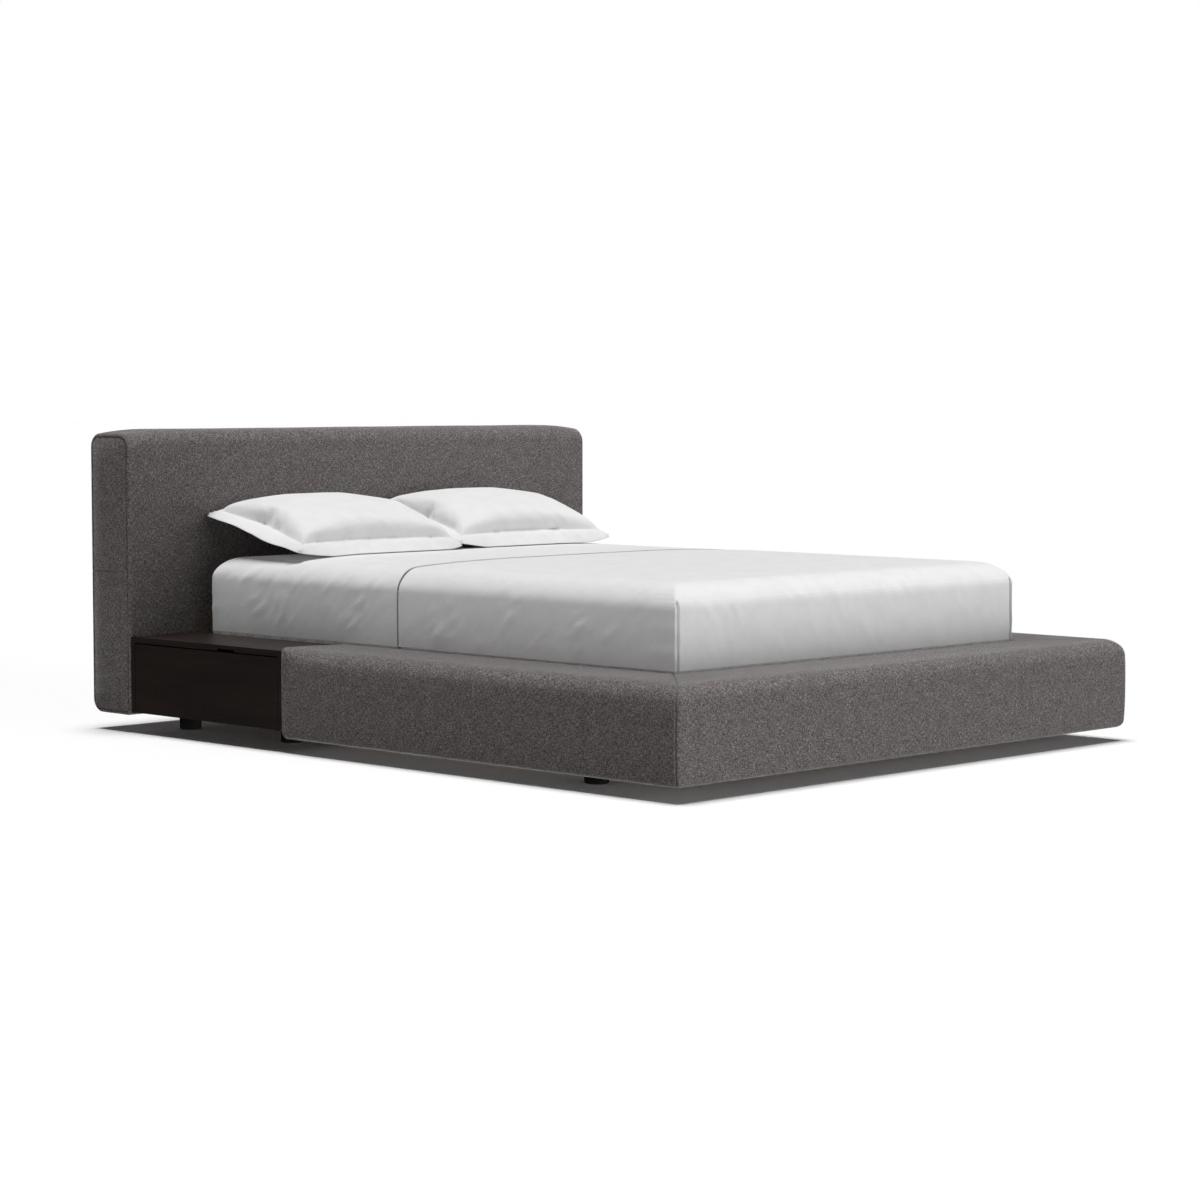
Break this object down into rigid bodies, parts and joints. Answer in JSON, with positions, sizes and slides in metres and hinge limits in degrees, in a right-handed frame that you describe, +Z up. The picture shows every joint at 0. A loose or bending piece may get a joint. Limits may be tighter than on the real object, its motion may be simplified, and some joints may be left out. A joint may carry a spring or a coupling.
{
  "type": "platform bed with storage drawers",
  "caption": "Low upholstered platform bed with a deep headboard, wide padded rails, dark wood drawer cabinets beside the pillows and a made-up mattress.",
  "frame": {"origin": "on the floor, at the middle of the bed's outline", "axes": "+Y from the foot to the headboard, +X across the bed, +Z up"},
  "size_m": [2.038, 2.566, 0.958],
  "materials": {
    "upholstery": "woven warm grey melange upholstery",
    "espresso_wood": "dark espresso stained wood, satin",
    "drawer_ply": "clear lacquered birch plywood",
    "frame_ply": "raw plywood",
    "pine": "planed pine",
    "foam": "polyurethane foam",
    "zinc_steel": "zinc plated steel",
    "black_steel": "black powder coated steel",
    "black_plastic": "black moulded plastic",
    "mattress_ticking": "quilted mattress ticking",
    "white_cotton": "plain woven white cotton"
  },
  "bodies": {
    "bed": {"left_cabinet_top": "espresso_wood", "left_cabinet_riser": "espresso_wood", "left_cabinet_head_side": "espresso_wood", "left_cabinet_foot_side": "espresso_wood", "right_cabinet_top": "espresso_wood", "right_cabinet_riser": "espresso_wood", "right_cabinet_head_side": "espresso_wood", "right_cabinet_foot_side": "espresso_wood", "left_cabinet_deck": "espresso_wood", "left_cabinet_bottom": "espresso_wood", "left_cabinet_inner_side": "espresso_wood", "right_cabinet_deck": "espresso_wood", "right_cabinet_bottom": "espresso_wood", "right_cabinet_inner_side": "espresso_wood", "left_slide_cabinet_members": "zinc_steel", "right_slide_cabinet_members": "zinc_steel", "left_rail_frame": "frame_ply", "right_rail_frame": "frame_ply", "foot_rail_frame": "frame_ply", "rail_ribs": "frame_ply", "headboard_stiles": "frame_ply", "headboard_cross_rails": "frame_ply", "headboard_front_panel": "frame_ply", "headboard_back_panel": "frame_ply", "side_cleats": "pine", "center_beam": "pine", "slats": "pine", "left_rail_foam": "foam", "right_rail_foam": "foam", "foot_rail_foam": "foam", "headboard_foam": "foam", "left_rail_cover": "upholstery", "right_rail_cover": "upholstery", "foot_rail_cover": "upholstery", "headboard_cover": "upholstery", "beam_hangers": "black_steel", "corner_brackets": "black_steel", "connecting_bolts": "zinc_steel", "center_legs": "black_plastic", "rail_feet": "black_plastic", "cabinet_feet": "black_plastic", "mattress": "mattress_ticking", "fitted_sheet": "white_cotton", "coverlet": "white_cotton", "pillow_left": "white_cotton", "pillow_right": "white_cotton"},
    "left_drawer": {"left_drawer_front": "espresso_wood", "left_drawer_head_side": "drawer_ply", "left_drawer_foot_side": "drawer_ply", "left_drawer_back": "drawer_ply", "left_drawer_bottom": "drawer_ply", "left_slide_drawer_members": "zinc_steel"},
    "right_drawer": {"right_drawer_front": "espresso_wood", "right_drawer_head_side": "drawer_ply", "right_drawer_foot_side": "drawer_ply", "right_drawer_back": "drawer_ply", "right_drawer_bottom": "drawer_ply", "right_slide_drawer_members": "zinc_steel"},
    "left_slide_middle": {"left_slide_middle_members": "zinc_steel"},
    "right_slide_middle": {"right_slide_middle_members": "zinc_steel"}
  },
  "joints": [
    {"name": "left_drawer_slide", "type": "slide", "parent": "bed", "child": "left_drawer", "axis": [-1, 0, 0], "range_m": [0, 0.4]},
    {"name": "right_drawer_slide", "type": "slide", "parent": "bed", "child": "right_drawer", "axis": [1, 0, 0], "range_m": [0, 0.4]},
    {"name": "left_middle_slide", "type": "slide", "parent": "bed", "child": "left_slide_middle", "axis": [-1, 0, 0], "range_m": [0, 0.2]},
    {"name": "right_middle_slide", "type": "slide", "parent": "bed", "child": "right_slide_middle", "axis": [1, 0, 0], "range_m": [0, 0.2]}
  ],
  "couplings": [
    {"joint": "left_middle_slide", "follows": "left_drawer_slide", "ratio": 0.5},
    {"joint": "right_middle_slide", "follows": "right_drawer_slide", "ratio": 0.5}
  ]
}
